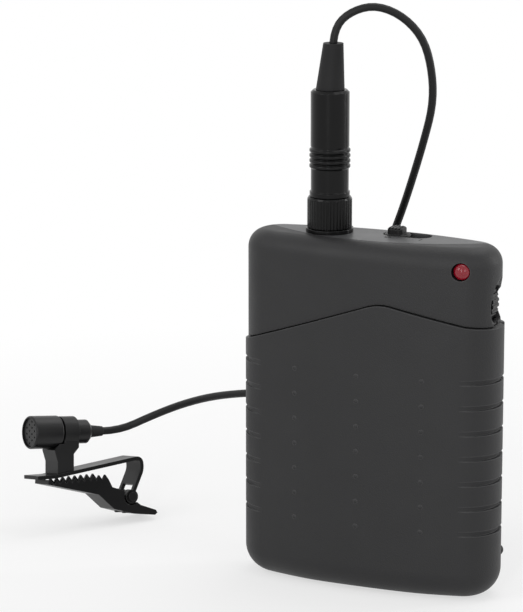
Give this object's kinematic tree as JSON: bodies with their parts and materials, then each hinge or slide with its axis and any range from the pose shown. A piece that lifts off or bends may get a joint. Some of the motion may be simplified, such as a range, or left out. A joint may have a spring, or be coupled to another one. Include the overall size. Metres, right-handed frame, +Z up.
{
  "type": "wireless bodypack transmitter",
  "caption": "Pocket wireless transmitter with sliding battery cover, thumb wheel, power slide, belt clip, and a plugged-in tie-clip microphone on a thin cord.",
  "frame": {"origin": "middle of the base of the pack with its belt clip, on the surface it stands on", "axes": "+Z up, +X to the right seen from the front, +Y to the back where the belt clip is"},
  "size_m": [0.142, 0.0705, 0.1516],
  "materials": {
    "case_plastic": "fine moulded texture",
    "panel_plastic": "satin moulded",
    "black_plastic": "satin",
    "gloss_black": "polished",
    "cord_rubber": "matte",
    "boot_rubber": "matte",
    "clip_steel": "black satin lacquer",
    "mic_metal": "black satin",
    "bright_steel": "plain",
    "brass_contact": "plain",
    "led_red": "clear tinted",
    "board_green": "solder mask",
    "cell_wrap": "printed foil, bare",
    "cord_band": "woven"
  },
  "bodies": {
    "pack": {"front_shell": "case_plastic", "back_shell": "case_plastic", "top_panel": "panel_plastic", "case_screws": "bright_steel", "switch_body": "black_plastic", "volume_pot": "black_plastic", "led": "led_red", "circuit_board": "board_green", "shield_can": "bright_steel", "board_chips": "black_plastic", "capacitors": "gloss_black", "antenna_strip": "brass_contact", "battery_bay": "black_plastic", "battery_cells": "cell_wrap", "battery_contacts": "bright_steel", "socket_shell": "clip_steel", "socket_nut": "bright_steel", "socket_insert": "black_plastic", "socket_pins": "brass_contact", "plug_barrel": "gloss_black", "plug_insert": "black_plastic", "plug_boot": "boot_rubber", "mic_housing": "mic_metal", "mic_grille": "mic_metal", "mic_capsule": "bright_steel", "mic_rear_sleeve": "black_plastic", "mic_strain_relief": "boot_rubber", "clip_holder": "black_plastic", "clip_arm": "clip_steel", "clip_pin": "clip_steel", "clip_spring": "clip_steel", "belt_clip_bracket": "black_plastic", "belt_clip_pin": "bright_steel", "belt_clip_spring": "bright_steel", "bracket_screws": "bright_steel", "mic_cord_loop": "cord_rubber", "mic_cord_lead": "cord_rubber", "mic_cord_coil": "cord_rubber", "cord_tie": "cord_band"},
    "battery_cover": {"battery_cover": "case_plastic"},
    "switch_knob": {"switch_knob": "black_plastic"},
    "volume_wheel": {"volume_wheel": "black_plastic"},
    "coupling_nut": {"coupling_nut": "clip_steel"},
    "belt_clip": {"belt_clip": "clip_steel"},
    "clip_jaw": {"clip_jaw": "clip_steel"}
  },
  "joints": [
    {"name": "battery_cover_slide", "type": "slide", "parent": "pack", "child": "battery_cover", "axis": [0, 0, -1], "range_m": [0, 0.075]},
    {"name": "power_switch_slide", "type": "slide", "parent": "pack", "child": "switch_knob", "axis": [1, 0, 0], "range_m": [0, 0.0054]},
    {"name": "volume_wheel_turn", "type": "hinge", "parent": "pack", "child": "volume_wheel", "pos_m": [0.0255, -0.0005, 0.0768], "axis": [0, -1, 0], "range_deg": [-135, 135]},
    {"name": "coupling_nut_turn", "type": "hinge", "parent": "pack", "child": "coupling_nut", "pos_m": [-0.0129, -0.0025, 0.096], "axis": [0, 0, 1], "continuous": true},
    {"name": "belt_clip_swing", "type": "hinge", "parent": "pack", "child": "belt_clip", "pos_m": [0, 0.01398, 0.077], "axis": [1, 0, 0], "range_deg": [0, 12], "stiffness_Nm_per_rad": 0.4, "springref_deg": -5.73},
    {"name": "tie_clip_jaw_swing", "type": "hinge", "parent": "pack", "child": "clip_jaw", "pos_m": [-0.08462, 0.02088, 0.00661], "axis": [0.8254, -0.5328, 0.1865], "range_deg": [0, 20], "stiffness_Nm_per_rad": 0.05, "springref_deg": -11.46}
  ]
}
